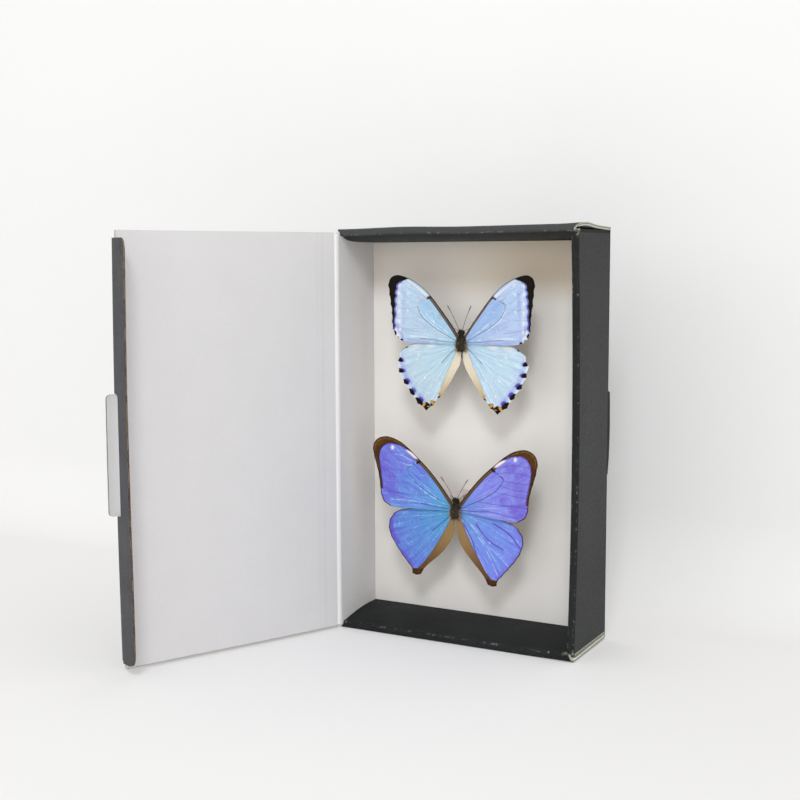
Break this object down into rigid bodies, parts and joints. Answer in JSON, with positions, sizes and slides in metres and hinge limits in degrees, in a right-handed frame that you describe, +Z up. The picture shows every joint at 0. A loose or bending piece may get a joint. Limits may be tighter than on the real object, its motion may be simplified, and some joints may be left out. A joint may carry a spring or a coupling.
{
  "type": "butterfly display case",
  "caption": "Upright corrugated display case with a hinged lid and tuck flap, roll-over walls, and butterflies pinned on a pale foam backing",
  "frame": {"origin": "Middle of the flat bottom face that the case stands on.", "axes": "+X to the case's right side, away from the hinged spine; +Y to the back panel; +Z up along the case's long side. The open front faces -Y."},
  "size_m": [0.1897, 0.174, 0.215],
  "materials": {
    "board": "matt black liner",
    "board_lid": "matt white liner inside, black outside",
    "foam": "matt white foam",
    "pin_steel": "dark pin",
    "insect": "hairy, dark brown",
    "wing_pale_blue": "scaled, soft sheen",
    "wing_violet_blue": "scaled, soft sheen"
  },
  "bodies": {
    "case": {"back_panel": "board", "spine_wall": "board", "bottom_wall_outer": "board", "bottom_wall_rollover": "board", "bottom_wall_inner": "board", "top_wall_outer": "board", "top_wall_rollover": "board", "top_wall_inner": "board", "right_wall_outer": "board", "right_wall_rollover": "board", "right_wall_inner": "board", "right_dust_flap_bottom": "board", "right_dust_flap_top": "board", "spine_dust_flap_bottom": "board", "spine_dust_flap_top": "board", "foam_backing": "foam", "upper_support_block": "foam", "lower_support_block": "foam"},
    "lid": {"lid_panel": "board_lid", "pull_tab": "board_lid"},
    "flap": {"tuck_flap": "board"},
    "upper_specimen": {"upper_pin": "pin_steel", "upper_body": "insect", "upper_forewing_left": "wing_pale_blue", "upper_forewing_right": "wing_pale_blue", "upper_hindwing_left": "wing_pale_blue", "upper_hindwing_right": "wing_pale_blue", "upper_antennae": "insect", "upper_forelegs": "insect"},
    "lower_specimen": {"lower_pin": "pin_steel", "lower_body": "insect", "lower_forewing_left": "wing_violet_blue", "lower_forewing_right": "wing_violet_blue", "lower_hindwing_left": "wing_violet_blue", "lower_hindwing_right": "wing_violet_blue", "lower_antennae": "insect", "lower_forelegs": "insect"}
  },
  "joints": [
    {"name": "lid_hinge", "type": "hinge", "parent": "case", "child": "lid", "pos_m": [-0.0666, -0.0248, 0.1071], "axis": [0, 0, 1], "range_deg": [-65.5, 114.5]},
    {"name": "tuck_flap_hinge", "type": "hinge", "parent": "lid", "child": "flap", "pos_m": [-0.11914, -0.14009, 0.1071], "axis": [0, 0, 1], "range_deg": [-84, 6]},
    {"name": "upper_pin_slide", "type": "slide", "parent": "case", "child": "upper_specimen", "axis": [0, -1, 0], "range_m": [0, 0.008]},
    {"name": "lower_pin_slide", "type": "slide", "parent": "case", "child": "lower_specimen", "axis": [0, -1, 0], "range_m": [0, 0.008]}
  ]
}
